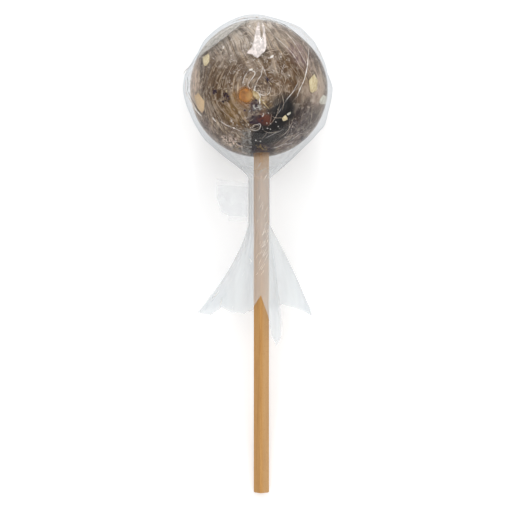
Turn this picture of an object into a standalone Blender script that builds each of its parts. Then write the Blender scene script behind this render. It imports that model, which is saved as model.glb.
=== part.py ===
"""A ball lollipop on a square wooden stick, in a clear wrapper that is gathered and taped below the ball.

It can't stand, so it lies on a table with the side that shows upwards. Each shape is worked out on the
lollipop's own axes, from the middle of the ball: x across, y along the stick towards the ball's top, and
z towards the side that shows. One empty then lays all the pieces down: it tilts them until the ball rests
on a small flat spot at the origin and the far end of the stick touches the table. Lengths are in metres.
"""

import math

import bmesh
import bpy
import numpy as np
from mathutils import Matrix, Vector

MM = 0.001

# Clearances between pieces, and the thickness that thin sheets are given
GAP = 0.25 * MM
FILM_THICKNESS = 0.35 * MM
TAPE_THICKNESS = 0.25 * MM

# Candy ball
CANDY_RADIUS = 24.0 * MM
FLAT_DEPTH = 1.0 * MM
FLAT_DIRECTION = Vector((0.64, 0.77, 0.0)).normalized()
FLAT_REACH = math.radians(26)
CANDY_SEGMENTS = 40

# Stick
STICK_SIDE = 4.0 * MM
STICK_LENGTH = 140.0 * MM
STICK_IN_CANDY = 23.4 * MM
STICK_OFFSET = 0.9 * MM
STICK_EDGE_RADIUS = 0.4 * MM
STICK_TURN = math.radians(38)
HOLE_GAP = 0.3 * MM

# Wrapper: how far its outside stands off the candy, in degrees from the ball's top and millimetres
RIGHT_SLACK = ((0, 1.7), (35, 1.6), (50, 1.2), (65, 0.8), (90, 1.5), (120, 2.2), (134, 1.9))
LEFT_SLACK = ((0, 1.7), (10, 1.9), (30, 1.4), (60, 0.8), (82, 2.4), (110, 1.7), (134, 2.1))
MIDDLE_SLACK = ((0, 1.7), (25, 1.1), (45, 0.9), (134, 0.9))
SIDE_SHARPNESS = 3
LEAVES_CANDY_AT = 134
WRAP_COLUMNS = 48
BALL_RINGS = 16
CONE_RINGS = 4
NECK_RINGS = 3
SKIRT_RINGS = 7

# Neck, where the wrapper is gathered on the stick
NECK_TOP = -31.4 * MM
NECK_BOTTOM = -47.4 * MM
NECK_CLEARANCE = 0.3 * MM
NECK_BUNCH = 1.0 * MM
SHALLOW_PLEAT = 0.15 * MM
DEEP_PLEAT = 0.4 * MM
CONE_PLEAT = 0.6 * MM

# Skirt: column, then x, y and z of the hem in millimetres, and the share of its way out made halfway down
HEM = (
    (0, 18.6, -79.2, 0.0, 0.55),
    (1, 17.6, -78.4, 0.9, 0.55),
    (3, 13.0, -76.4, 2.0, 0.55),
    (5, 7.4, -75.0, 2.4, 0.50),
    (6, 8.0, -82.0, 4.0, 0.50),
    (7, 7.7, -86.4, 4.9, 0.50),
    (8, 6.2, -89.3, 5.4, 0.50),
    (9, 4.6, -86.0, 5.5, 0.50),
    (10, 3.2, -79.0, 5.3, 0.50),
    (12, 0.7, -71.9, 4.8, 0.50),
    (14, -2.0, -76.1, 4.4, 0.50),
    (16, -5.0, -78.3, 3.8, 0.45),
    (18, -9.4, -77.8, 3.0, 0.42),
    (20, -12.8, -76.1, 2.2, 0.40),
    (22, -16.8, -78.9, 1.6, 0.38),
    (23, -19.5, -78.5, 0.9, 0.38),
    (24, -21.3, -78.0, 0.0, 0.38),
    (25, -19.5, -77.4, -0.9, 0.38),
    (28, -13.0, -75.5, -3.0, 0.45),
    (31, -8.0, -77.5, -5.2, 0.50),
    (34, -3.0, -77.8, -7.4, 0.50),
    (36, 0.5, -76.0, -6.6, 0.50),
    (38, 4.5, -77.0, -7.2, 0.50),
    (41, 9.0, -75.0, -4.6, 0.50),
    (44, 13.5, -76.2, -2.6, 0.55),
    (47, 17.6, -78.6, -0.9, 0.55),
)

# Tape: a band round the neck, whose two ends are pressed together into a flag on the left. The outlines
# are x and y in millimetres, and their roots run into the band's wall
TAPE_TOP = -32.0 * MM
TAPE_BOTTOM = -46.8 * MM
TAPE_COLUMNS = 32
FLAG_ROOT = -4.2
FLAG_UPPER_END = (
    (-14.6, -31.4), (FLAG_ROOT, -33.0), (FLAG_ROOT, -44.6), (-10.6, -44.2), (-12.8, -43.4), (-14.7, -38.1),
)
FLAG_LOWER_END = (
    (-14.1, -33.6), (FLAG_ROOT, -34.3), (FLAG_ROOT, -46.5), (-10.6, -46.1), (-12.4, -40.0),
)
FLAG_OVERLAP = 0.03 * MM

# Rest: the height of the ball's middle, which leaves the flat spot on the wrapper
BALL_HEIGHT = 24.6 * MM


def clear_scene():
    for old in list(bpy.data.objects):
        bpy.data.objects.remove(old, do_unlink=True)


def make_material(name, colour, roughness, alpha=1.0):
    made = bpy.data.materials.new(name)
    made.use_nodes = True
    shader = made.node_tree.nodes["Principled BSDF"]
    shader.inputs["Base Color"].default_value = (*colour, 1.0)
    shader.inputs["Roughness"].default_value = roughness
    shader.inputs["Metallic"].default_value = 0.0
    shader.inputs["Alpha"].default_value = alpha
    return made


def add_object(name, shape, look=None, parent=None):
    """The bmesh as a named object of the scene, in its material and under its parent."""
    mesh = bpy.data.meshes.new(name)
    shape.to_mesh(mesh)
    shape.free()
    made = bpy.data.objects.new(name, mesh)
    bpy.context.scene.collection.objects.link(made)
    if look:
        mesh.materials.append(look)
    made.parent = parent
    return made


def shade(obj, sharp_degrees):
    obj.data.shade_smooth()
    obj.data.set_sharp_from_angle(angle=math.radians(sharp_degrees))


def hide_helper(obj):
    obj.hide_render = True
    obj.display_type = "WIRE"


def combine(obj, other, operation):
    boolean = obj.modifiers.new(other.name, "BOOLEAN")
    boolean.operation = operation
    boolean.object = other
    boolean.solver = "EXACT"


def stick_matrix():
    """Puts a bar along y on the stick's axis, with one of its corners towards the side that shows."""
    return Matrix.Translation((STICK_OFFSET, 0.0, 0.0)) @ Matrix.Rotation(STICK_TURN, 4, "Y")


def square_bar(side, top, bottom):
    """A square bar along y on the stick's axis."""
    bar = bmesh.new()
    bmesh.ops.create_cube(bar, size=1.0)
    size = Matrix.Diagonal((side, top - bottom, side, 1.0))
    middle = Matrix.Translation((0.0, (top + bottom) / 2, 0.0))
    bmesh.ops.transform(bar, matrix=stick_matrix() @ middle @ size, verts=bar.verts)
    return bar


def make_candy(look, parent):
    """The sugar ball, a little flat at the upper right, with a blind hole for the stick."""
    ball = bmesh.new()
    bmesh.ops.create_uvsphere(
        ball, u_segments=CANDY_SEGMENTS, v_segments=CANDY_SEGMENTS // 2, radius=CANDY_RADIUS
    )
    bmesh.ops.rotate(ball, matrix=Matrix.Rotation(-math.pi / 2, 3, "X"), verts=ball.verts)
    for vert in ball.verts:
        away = vert.co.angle(FLAT_DIRECTION) / FLAT_REACH
        vert.co *= 1 - FLAT_DEPTH / CANDY_RADIUS * math.exp(-away * away)
    candy = add_object("candy", ball, look, parent)
    shade(candy, 40)
    top = STICK_IN_CANDY - CANDY_RADIUS + HOLE_GAP
    hole = add_object("stick_hole", square_bar(STICK_SIDE + 2 * HOLE_GAP, top, -2 * CANDY_RADIUS), None, parent)
    hide_helper(hole)
    combine(candy, hole, "DIFFERENCE")
    return candy


def make_stick(look, parent):
    """A square bar with softened edges, from inside the ball to its free end."""
    top = STICK_IN_CANDY - CANDY_RADIUS
    bar = square_bar(STICK_SIDE, top, top - STICK_LENGTH)
    bmesh.ops.bevel(
        bar, geom=bar.edges, offset=STICK_EDGE_RADIUS, segments=2, profile=0.5, affect="EDGES"
    )
    stick = add_object("stick", bar, look, parent)
    shade(stick, 50)
    return stick


def rest_tilt(stick):
    """The angle at which the stick's end touches the table, with the ball's middle at its height."""
    low, high = 0.0, math.radians(30)
    for _ in range(50):
        tilt = (low + high) / 2
        heights = [
            BALL_HEIGHT + v.co.y * math.sin(tilt) + v.co.z * math.cos(tilt) for v in stick.data.vertices
        ]
        if min(heights) > 0:
            low = tilt
        else:
            high = tilt
    return low


def column_angles(count):
    return np.arange(count) * 2 * math.pi / count


def slack_at(degrees, angles):
    """How far the wrapper's outside stands off the candy, one value for each column."""
    right, left, middle = (
        np.interp(degrees, *zip(*slack)) * MM for slack in (RIGHT_SLACK, LEFT_SLACK, MIDDLE_SLACK)
    )
    side = np.where(np.cos(angles) > 0, right, left)
    return middle + (side - middle) * np.abs(np.cos(angles)) ** SIDE_SHARPNESS


def ball_ring(degrees, angles):
    polar = math.radians(degrees)
    radius = CANDY_RADIUS + slack_at(degrees, angles)
    return np.stack(
        [
            radius * math.sin(polar) * np.cos(angles),
            radius * math.cos(polar),
            radius * math.sin(polar) * np.sin(angles),
        ],
        axis=1,
    )


def neck_radius(angles):
    """The outside of the gathered wrapper round the stick, without its pleats. It bunches on the left."""
    corner = (STICK_SIDE / 2 - STICK_EDGE_RADIUS) * math.sqrt(2) + STICK_EDGE_RADIUS
    leftness = (1 - np.cos(angles)) / 2
    return corner + NECK_CLEARANCE + FILM_THICKNESS + NECK_BUNCH * leftness**3


def neck_pleat(angles):
    """The depth of the pleats at the neck, deeper on the bunched side."""
    leftness = (1 - np.cos(angles)) / 2
    return SHALLOW_PLEAT + (DEEP_PLEAT - SHALLOW_PLEAT) * leftness


def neck_ring(y, angles, ridges):
    radius = neck_radius(angles) + neck_pleat(angles) * ridges
    return np.stack(
        [STICK_OFFSET + radius * np.cos(angles), np.full(len(angles), y), radius * np.sin(angles)], axis=1
    )


def outward(ring):
    """The direction away from the stick's axis at each point of a ring."""
    flat = (ring - (STICK_OFFSET, 0.0, 0.0)) * (1.0, 0.0, 1.0)
    return flat / np.linalg.norm(flat, axis=1)[:, None]


def skirt_ring(down, neck, columns, ridges):
    """The flared wrapper at a share of the way down from the neck to the hem."""
    keys = np.array(HEM)
    at = np.arange(columns)
    x, y, z, half = (np.interp(at, keys[:, 0], keys[:, i], period=columns) for i in range(1, 5))
    hem = np.stack([x, y, z], axis=1) * MM
    out = (4 * half - 1) * down + (2 - 4 * half) * down**2
    share = np.stack([out, np.full(columns, down), out], axis=1)
    ring = neck + (hem - neck) * share
    pleats = DEEP_PLEAT * ridges * math.sin(math.pi * down) * (1 - down)
    return ring + outward(ring) * pleats[:, None]


def wrapper_rings():
    """Closed rings of points down the outside of the wrapper, from just off the ball's top to the hem."""
    angles = column_angles(WRAP_COLUMNS)
    ridges = np.arange(WRAP_COLUMNS) % 2
    rings = [ball_ring(LEAVES_CANDY_AT * i / BALL_RINGS, angles) for i in range(1, BALL_RINGS + 1)]
    leaves = rings[-1]
    neck_top = neck_ring(NECK_TOP, angles, ridges)
    for i in range(1, CONE_RINGS + 1):
        down = i / (CONE_RINGS + 1)
        ring = leaves + (neck_top - leaves) * down
        rings.append(ring + outward(ring) * (CONE_PLEAT * math.sin(math.pi * down) * ridges)[:, None])
    for i in range(NECK_RINGS):
        y = NECK_TOP + (NECK_BOTTOM - NECK_TOP) * i / (NECK_RINGS - 1)
        rings.append(neck_ring(y, angles, ridges))
    neck_bottom = rings[-1]
    for i in range(1, SKIRT_RINGS + 1):
        rings.append(skirt_ring(i / SKIRT_RINGS, neck_bottom, WRAP_COLUMNS, ridges))
    return rings


def cut_rest_spot(shape, tilt):
    """Cuts the wrapper off level where it would pass below the table, and closes the cut with a flat face."""
    to_rest = Matrix.Translation((0.0, 0.0, BALL_HEIGHT)) @ Matrix.Rotation(tilt, 4, "X")
    to_local = to_rest.inverted()
    up = to_local.to_3x3() @ Vector((0.0, 0.0, 1.0))
    cut = bmesh.ops.bisect_plane(
        shape,
        geom=[*shape.verts, *shape.edges, *shape.faces],
        plane_co=to_local @ Vector((0.0, 0.0, 0.0)),
        plane_no=up,
        clear_inner=True,
    )
    edges = [piece for piece in cut["geom_cut"] if isinstance(piece, bmesh.types.BMEdge)]
    for face in bmesh.ops.holes_fill(shape, edges=edges, sides=0)["faces"]:
        face.normal_update()
        if face.normal.dot(up) > 0:
            face.normal_flip()


def make_wrapper(look, parent, tilt):
    """The film: close round the ball, gathered on the stick and flaring into a skirt with four corners."""
    shape = bmesh.new()
    rows = [[shape.verts.new(point) for point in ring] for ring in wrapper_rings()]
    pole = shape.verts.new((0.0, CANDY_RADIUS + MIDDLE_SLACK[0][1] * MM, 0.0))
    for j in range(WRAP_COLUMNS):
        shape.faces.new((pole, rows[0][j], rows[0][j - 1]))
        for upper, lower in zip(rows, rows[1:]):
            shape.faces.new((upper[j - 1], upper[j], lower[j], lower[j - 1]))
    cut_rest_spot(shape, tilt)
    wrapper = add_object("wrapper", shape, look, parent)
    shade(wrapper, 30)
    film = wrapper.modifiers.new("film", "SOLIDIFY")
    film.thickness = FILM_THICKNESS
    film.offset = -1.0
    film.use_quality_normals = True
    return wrapper


def tape_ring(y, stand_off):
    angles = column_angles(TAPE_COLUMNS)
    radius = neck_radius(angles) + neck_pleat(angles) + stand_off
    return [
        (STICK_OFFSET + r * math.cos(a), y, r * math.sin(a)) for r, a in zip(radius, angles)
    ]


def make_plate(name, outline, low, high, parent):
    """A flat plate with this outline in millimetres, between two heights."""
    plate = bmesh.new()
    face = plate.faces.new([plate.verts.new((x * MM, y * MM, low)) for x, y in outline])
    grown = bmesh.ops.extrude_face_region(plate, geom=[face])
    raised = [piece for piece in grown["geom"] if isinstance(piece, bmesh.types.BMVert)]
    bmesh.ops.translate(plate, vec=(0.0, 0.0, high - low), verts=raised)
    bmesh.ops.recalc_face_normals(plate, faces=plate.faces)
    helper = add_object(name, plate, None, parent)
    hide_helper(helper)
    return helper


def make_tape(look, parent):
    """The tape: its band round the neck, joined to the two ends of the flag, which don't quite line up."""
    band = bmesh.new()
    outer = GAP + TAPE_THICKNESS
    loops = [
        [band.verts.new(point) for point in tape_ring(y, stand_off)]
        for y, stand_off in (
            (TAPE_TOP, GAP), (TAPE_TOP, outer), (TAPE_BOTTOM, outer), (TAPE_BOTTOM, GAP),
        )
    ]
    for first, second in zip(loops, loops[1:] + loops[:1]):
        for j in range(TAPE_COLUMNS):
            band.faces.new((first[j - 1], first[j], second[j], second[j - 1]))
    bmesh.ops.recalc_face_normals(band, faces=band.faces)
    tape = add_object("tape", band, look, parent)
    shade(tape, 40)
    upper = make_plate("flag_upper", FLAG_UPPER_END, -FLAG_OVERLAP, TAPE_THICKNESS, parent)
    lower = make_plate("flag_lower", FLAG_LOWER_END, -TAPE_THICKNESS, FLAG_OVERLAP, parent)
    combine(tape, upper, "UNION")
    combine(tape, lower, "UNION")
    return tape


def main():
    clear_scene()
    lying = bpy.data.objects.new("lollipop_lying", None)
    bpy.context.scene.collection.objects.link(lying)
    make_candy(make_material("sugar", (0.20, 0.15, 0.11), 0.15), lying)
    stick = make_stick(make_material("wood", (0.50, 0.29, 0.12), 0.6), lying)
    tilt = rest_tilt(stick)
    make_wrapper(make_material("film", (0.86, 0.89, 0.91), 0.1, alpha=0.3), lying, tilt)
    make_tape(make_material("tape", (0.86, 0.86, 0.90), 0.35, alpha=0.6), lying)
    lying.rotation_euler = (tilt, 0.0, 0.0)
    lying.location = (0.0, 0.0, BALL_HEIGHT)


main()
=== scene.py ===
"""The looks of a ball lollipop in clear film, lying on a pale floor and seen from above.

Every piece is worked out on the lollipop's own axes, in millimetres from the middle of the ball: x across,
y along the stick towards the ball's top, z towards the side that shows. REST lays them down as the frame
lies. A pixel is a place in the photograph's 512 px frame.
"""

import math
import random

import bmesh
import bpy
import numpy as np
from mathutils import Matrix, Vector, noise


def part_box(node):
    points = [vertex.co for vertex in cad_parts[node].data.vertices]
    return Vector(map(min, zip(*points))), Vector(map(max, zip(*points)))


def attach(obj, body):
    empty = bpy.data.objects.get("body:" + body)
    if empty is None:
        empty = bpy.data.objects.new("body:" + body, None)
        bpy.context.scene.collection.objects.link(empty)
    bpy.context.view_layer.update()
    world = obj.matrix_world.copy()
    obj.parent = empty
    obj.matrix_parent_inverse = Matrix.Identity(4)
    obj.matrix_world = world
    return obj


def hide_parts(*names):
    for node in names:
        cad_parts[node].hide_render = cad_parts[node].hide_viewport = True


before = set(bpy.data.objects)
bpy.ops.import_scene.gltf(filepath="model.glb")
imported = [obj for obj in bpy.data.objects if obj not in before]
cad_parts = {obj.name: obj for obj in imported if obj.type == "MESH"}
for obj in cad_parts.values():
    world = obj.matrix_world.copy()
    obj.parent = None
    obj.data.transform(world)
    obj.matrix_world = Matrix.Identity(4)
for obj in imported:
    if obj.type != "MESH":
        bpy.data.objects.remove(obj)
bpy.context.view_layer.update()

# The frame: how the lollipop lies, and the candy's size
STICK_POINTS = np.array([v.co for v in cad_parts["stick"].data.vertices])
STICK_AXIS = np.linalg.svd(STICK_POINTS - STICK_POINTS.mean(0), full_matrices=False)[2][0]
TILT = math.atan(STICK_AXIS[2] / STICK_AXIS[1])
CANDY_LOW, CANDY_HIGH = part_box("candy")
BALL_HEIGHT = (CANDY_LOW.z + CANDY_HIGH.z) / 2
REST = Matrix.Translation((0.0, 0.0, BALL_HEIGHT)) @ Matrix.Rotation(TILT, 4, "X")
MM = 0.001
RADIUS = (CANDY_HIGH.z - CANDY_LOW.z) / 2 / MM
CORE_RADIUS = 0.97 * RADIUS

# The photograph: the ball's middle and diameter in pixels
FRAME_PX = 512
BALL_PX = (258.8, 88.3)
BALL_DIAMETER_PX = 138
PX = 2 * RADIUS / BALL_DIAMETER_PX

# The candy's flat place at the upper right, as in the frame
FLAT_DEPTH = 1.0
FLAT_DIRECTION = np.array([0.64, 0.77, 0.0])
FLAT_REACH = math.radians(26)

# The sugar's strokes: round this pixel, and combed down to the right above it
SWIRL_PX = (258, 96)
COMB_TURN = math.radians(25)
COMB_LENGTH = 14.0
COMB_DEPTH = 0.12

# The wrapper: how far it stands off the candy, in degrees from the ball's top and millimetres
RIGHT_SLACK = (
    (0, 1.7), (10, 1.0), (20, 0.9), (28, 1.2), (35, 1.6), (43, 1.15), (50, 1.2), (57, 0.8),
    (65, 0.6), (78, 0.45), (90, 1.7), (98, 1.6), (108, 1.5), (120, 2.4), (127, 1.8), (134, 1.8),
)
LEFT_SLACK = (
    (0, 1.7), (10, 1.9), (22, 1.5), (40, 1.2), (50, 1.2), (60, 0.5),
    (70, 1.0), (80, 2.2), (92, 2.4), (110, 1.6), (122, 1.6), (134, 2.0),
)
MIDDLE_SLACK = ((0, 1.7), (12, 1.0), (25, 0.6), (45, 0.4), (134, 0.5))
SIDE_SHARPNESS = 3
LEAVES_CANDY_AT = 134
PLEATS = 24
PLEAT_DEPTH = 0.10
CONE_PLEAT = 0.4
SKIRT_PLEAT = 0.05
CONE_BULGE = -1.2
BULGE_PEAK = 0.105
FILM_COLUMNS = 288
BALL_RINGS = 60
CONE_RINGS = 18
NECK_RINGS = 9
SKIRT_RINGS = 40
LEAST_ABOVE_FLOOR = 0.1

# The film's look: how milky it is on the ball and where it is gathered, its gloss and its tints
BALL_HAZE = 0.004
GATHERED_BETWEEN = (-21.5, -29.5)
GATHERED_HAZE = (0.28, 0.40)
GATHERED_SHINE = 0.35
LEAST_GLOSS = 0.022
MOST_GLOSS = 0.25
EDGE_TINT = (0.76, 0.78, 0.80)
FILM_TINT = (0.945, 0.953, 0.96)

# The neck and the tape
STICK_EDGES_PX = (253.6, 268.8)
STICK_OFFSET = 0.9
STICK_HALF_WIDTH = 2.67
NECK_TOP = -31.4
NECK_BOTTOM = -47.4
NECK_BUNCH = 1.5
NECK_CLEARANCE = 0.15
NECK_LEFT = STICK_OFFSET - STICK_HALF_WIDTH - NECK_BUNCH
TAPE_TOP = -32.0
TAPE_BOTTOM = -46.8
TAPE_COLUMNS = 96
TAPE_GAP = 0.05
TAPE_THICKNESS = 0.06
TAPE_HAZE = (0.15, 0.17)

# The skirt's hem: column of 48, then x, y and z, and the share of its way out made halfway down
HEM = (
    (0, 18.6, -79.2, 0.0, 0.55), (1, 17.6, -78.4, 0.9, 0.55), (3, 13.0, -76.4, 2.0, 0.55),
    (5, 7.4, -75.0, 2.4, 0.50), (6, 8.0, -82.0, 4.0, 0.50), (7, 7.7, -86.4, 4.9, 0.50),
    (8, 6.2, -89.3, 5.4, 0.50), (9, 4.6, -86.0, 5.5, 0.50), (10, 3.2, -79.0, 5.3, 0.50),
    (12, 0.7, -71.9, 4.8, 0.50), (14, -2.0, -76.1, 4.4, 0.50), (16, -5.0, -78.3, 3.8, 0.45),
    (18, -9.4, -77.8, 3.0, 0.42), (20, -12.8, -76.1, 2.2, 0.40), (22, -16.8, -78.9, 1.6, 0.38),
    (23, -19.5, -78.5, 0.9, 0.38), (24, -21.3, -78.0, 0.0, 0.38), (25, -19.5, -77.4, -0.9, 0.38),
    (28, -13.0, -75.5, -3.0, 0.45), (31, -8.0, -77.5, -5.2, 0.50), (34, -3.0, -77.8, -7.4, 0.50),
    (36, 0.5, -76.0, -6.6, 0.50), (38, 4.5, -77.0, -7.2, 0.50), (41, 9.0, -75.0, -4.6, 0.50),
    (44, 13.5, -76.2, -2.6, 0.55), (47, 17.6, -78.6, -0.9, 0.55),
)
HEM_COLUMNS = 48

# The camera: a long lens square to the stick
LENS = 135.0
SENSOR = 36.0

# The lights in watts, and how brightly the floor and the world glow
OVERHEAD_POWER = 47.0
KEY_POWER = 1.2
FLOOR_GLOW = 0.27
WORLD_GLOW = 0.10


def rgb(red, green, blue):
    """An sRGB colour from 0 to 255 as the linear one that shaders take."""
    return tuple(
        c / 12.92 if c <= 0.04045 else ((c + 0.055) / 1.055) ** 2.4
        for c in (red / 255, green / 255, blue / 255)
    )


def from_pixel(x, y):
    """The x and y of a pixel on the lollipop's own axes."""
    return (x - BALL_PX[0]) * PX, (BALL_PX[1] - y) * PX


EYE = Vector((*from_pixel(FRAME_PX / 2, FRAME_PX / 2), FRAME_PX * PX * LENS / SENSOR))


def on_ball(x, y, radius):
    """The point seen at this pixel, at this distance from the ball's middle on the side that shows."""
    aim = (Vector((*from_pixel(x, y), 0.0)) - EYE).normalized()
    along = -EYE.dot(aim)
    beside = EYE.length_squared - along**2
    return EYE + aim * (along - math.sqrt(max(radius**2 - beside, 0.0)))


def flattened(points):
    """Points of the candy moved in where it is flat."""
    length = np.linalg.norm(points, axis=1)
    away = np.arccos(np.clip(points @ FLAT_DIRECTION / length, -1, 1)) / FLAT_REACH
    return points * (1 - FLAT_DEPTH / RADIUS * np.exp(-away * away))[:, None]


def laid_down(points):
    """Points on the lollipop's own axes, in millimetres, as places in the frame."""
    return np.asarray(points, float) * MM @ np.array(REST.to_3x3()).T + np.array(REST.translation)


def add_object(name, data):
    made = bpy.data.objects.new(name, data)
    bpy.context.scene.collection.objects.link(made)
    return made


def add_piece(name, points, faces, look, slot, smooth=True):
    """A named mesh from points in millimetres, laid down and riding on the frame."""
    mesh = bpy.data.meshes.new(name)
    mesh.from_pydata(laid_down(points).tolist(), [], faces)
    mesh.validate()
    mesh.materials.append(look)
    if smooth:
        mesh.shade_smooth()
    piece = add_object(name, mesh)
    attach(piece, "root")
    return piece


def bands(starts, columns):
    """Four-sided faces between closed rings of points, each ring given by its first point."""
    faces = []
    for a, b in zip(starts, starts[1:]):
        for j in range(columns):
            nxt = (j + 1) % columns
            faces.append((a + j, a + nxt, b + nxt, b + j))
    return faces


def fan(tip, ring):
    """Three-sided faces from one point to a closed ring of points."""
    ring = list(ring)
    return [(tip, a, b) for a, b in zip(ring, ring[1:] + ring[:1])]


class Nodes:
    """A material's node tree, with short calls for the nodes that the looks below share."""

    def __init__(self, name):
        self.material = bpy.data.materials.new(name)
        self.material.use_nodes = True
        self.tree = self.material.node_tree
        self.tree.nodes.clear()
        self.output = self.add("ShaderNodeOutputMaterial")

    def add(self, kind, inputs=None, **settings):
        node = self.tree.nodes.new(kind)
        for name, value in settings.items():
            setattr(node, name, value)
        for name, value in (inputs or {}).items():
            self.feed(node.inputs[name], value)
        return node

    def feed(self, socket, value):
        if isinstance(value, bpy.types.NodeSocket):
            self.tree.links.new(value, socket)
        elif isinstance(value, tuple) and len(value) == 3 and socket.type == "RGBA":
            socket.default_value = (*value, 1.0)
        else:
            socket.default_value = value

    def math(self, operation, *values):
        node = self.add("ShaderNodeMath", operation=operation)
        for socket, value in zip(node.inputs, values):
            self.feed(socket, value)
        return node.outputs[0]

    def times(self, first, second):
        return self.math("MULTIPLY", first, second)

    def vector(self, operation, *values):
        node = self.add("ShaderNodeVectorMath", operation=operation)
        vectors = [socket for socket in node.inputs if socket.type == "VECTOR"]
        for socket, value in zip(vectors, values):
            self.feed(socket, value)
        return node

    def scaled(self, value, factor):
        node = self.vector("SCALE", value)
        node.inputs["Scale"].default_value = factor
        return node.outputs[0]

    def stretched(self, place, along):
        """The place for noise that is longer along the stick, the smaller along is."""
        return self.vector("MULTIPLY", place, (1.0, along, 1.0)).outputs[0]

    def split(self, vector):
        """The x, y and z of a vector."""
        return self.add("ShaderNodeSeparateXYZ", {"Vector": vector}).outputs

    def mix(self, share, first, second):
        node = self.add("ShaderNodeMix", data_type="RGBA")
        for i, value in ((0, share), (6, first), (7, second)):
            self.feed(node.inputs[i], value)
        return node.outputs[2]

    def blend(self, share, first, second):
        node = self.add("ShaderNodeMixShader")
        for socket, value in zip(node.inputs, (share, first, second)):
            self.feed(socket, value)
        return node.outputs[0]

    def ramp(self, value, *stops, smooth=False):
        """A colour for each place from 0 to 1."""
        node = self.add("ShaderNodeValToRGB", {"Fac": value})
        node.color_ramp.interpolation = "EASE" if smooth else "LINEAR"
        elements = node.color_ramp.elements
        while len(elements) < len(stops):
            elements.new(0.5)
        for element, (place, colour) in zip(elements, stops):
            element.position = place
            element.color = (*colour, 1.0)
        return node.outputs["Color"]

    def noise(self, place, scale, detail=3.0, rough=0.5, warp=0.0, fourth=None):
        node = self.add(
            "ShaderNodeTexNoise",
            {"Vector": place, "Scale": scale, "Detail": detail, "Roughness": rough, "Distortion": warp},
        )
        if fourth is not None:
            node.noise_dimensions = "4D"
            self.feed(node.inputs["W"], fourth)
        return node.outputs["Fac"]

    def range(self, value, low, high, to_low=0.0, to_high=1.0):
        limits = {"Value": value, "From Min": low, "From Max": high, "To Min": to_low, "To Max": to_high}
        return self.add("ShaderNodeMapRange", limits, interpolation_type="SMOOTHSTEP").outputs["Result"]

    def place(self):
        """The spot on the lollipop's own axes, in millimetres."""
        spot = self.add("ShaderNodeTexCoord").outputs["Object"]
        lying = {"Vector": spot, "Location": REST.translation, "Rotation": (TILT, 0.0, 0.0)}
        mapping = self.add("ShaderNodeMapping", lying, vector_type="TEXTURE")
        return self.scaled(mapping.outputs[0], 1 / MM)

    def bump(self, height, distance, strength):
        inputs = {"Height": height, "Distance": distance * MM, "Strength": strength}
        return self.add("ShaderNodeBump", inputs).outputs["Normal"]

    def clear(self, tint=(1.0, 1.0, 1.0)):
        return self.add("ShaderNodeBsdfTransparent", {"Color": tint}).outputs[0]

    def surface(self, colour, roughness, more=None):
        """The common surface. More holds its further inputs by name."""
        inputs = {"Base Color": colour, "Roughness": roughness, **(more or {})}
        return self.add("ShaderNodeBsdfPrincipled", inputs).outputs[0]

    def matt(self, red, green, blue):
        return self.add("ShaderNodeBsdfDiffuse", {"Color": rgb(red, green, blue)}).outputs[0]

    def finish(self, surface, volume=None):
        self.tree.links.new(surface, self.output.inputs["Surface"])
        if volume:
            self.tree.links.new(volume, self.output.inputs["Volume"])
        return self.material


def near(look, place, pixel, reach):
    """1 at a pixel of the side that shows, fading to 0 at reach pixels from it."""
    away = look.vector("DISTANCE", place, tuple(on_ball(*pixel, CORE_RADIUS))).outputs["Value"]
    return look.range(away, reach * PX, reach * PX * 0.4)


def wandering(look, place, scale, reach):
    """The place shifted here and there by up to about half of reach."""
    wander = look.add("ShaderNodeTexNoise", {"Vector": place, "Scale": scale, "Detail": 1.0})
    shift = look.vector("SUBTRACT", wander.outputs["Color"], (0.5, 0.5, 0.5)).outputs[0]
    return look.vector("ADD", place, look.scaled(shift, reach)).outputs[0]


def swirled(look, place):
    """The place along the sugar's swirl: distance from its axis, height, and the direction round it."""
    middle = (*from_pixel(*SWIRL_PX), 0.0)
    shifted = look.vector("SUBTRACT", place, middle).outputs[0]
    oval = look.vector("MULTIPLY", shifted, (1.25, 1.0, 1.0)).outputs[0]
    x, y, z = look.split(oval)
    flat = look.add("ShaderNodeCombineXYZ", {"X": x, "Y": y}).outputs[0]
    out = look.vector("LENGTH", flat).outputs["Value"]
    first, second, _ = look.split(look.vector("NORMALIZE", flat).outputs[0])
    return out, z, first, second


def combed(look, place):
    """The place across straight strokes that run down to the right: across, height, and along them."""
    lean = look.add("ShaderNodeMapping", {"Vector": place, "Rotation": (0.0, 0.0, -COMB_TURN)})
    across, along, z = look.split(lean.outputs[0])
    return across, look.times(z, COMB_DEPTH), look.math("DIVIDE", along, COMB_LENGTH), 0.0


def drawn_out(look, flow, across, along, high, detail):
    """Noise drawn out along a flow. Across and high are its fineness, along its length."""
    away, height, first, second = flow
    sides = {"X": look.times(away, across), "Y": look.times(height, high), "Z": look.times(first, along)}
    spot = look.add("ShaderNodeCombineXYZ", sides).outputs[0]
    return look.noise(spot, 1.0, detail, 0.55, fourth=look.times(second, along))


def streaks(look, flows, across, along, high, detail=1.0):
    """Strokes of the sugar: its swirl, and the combed flow above it."""
    swirl, comb, share = flows
    round_it = drawn_out(look, swirl, across, along, high, detail)
    straight = drawn_out(look, comb, across, along, high, detail)
    return look.mix(share, round_it, straight)


def sugar_flows(look, place):
    """The two flows of the sugar's strokes, and the share of the combed one."""
    moved = wandering(look, place, 0.055, 8.0)
    curled = wandering(look, moved, 0.15, 1.6)
    x, y, _ = look.split(moved)
    above = look.math("ADD", y, look.times(x, 0.35))
    return swirled(look, moved), combed(look, curled), look.range(above, -1.0, 8.0)


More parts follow.
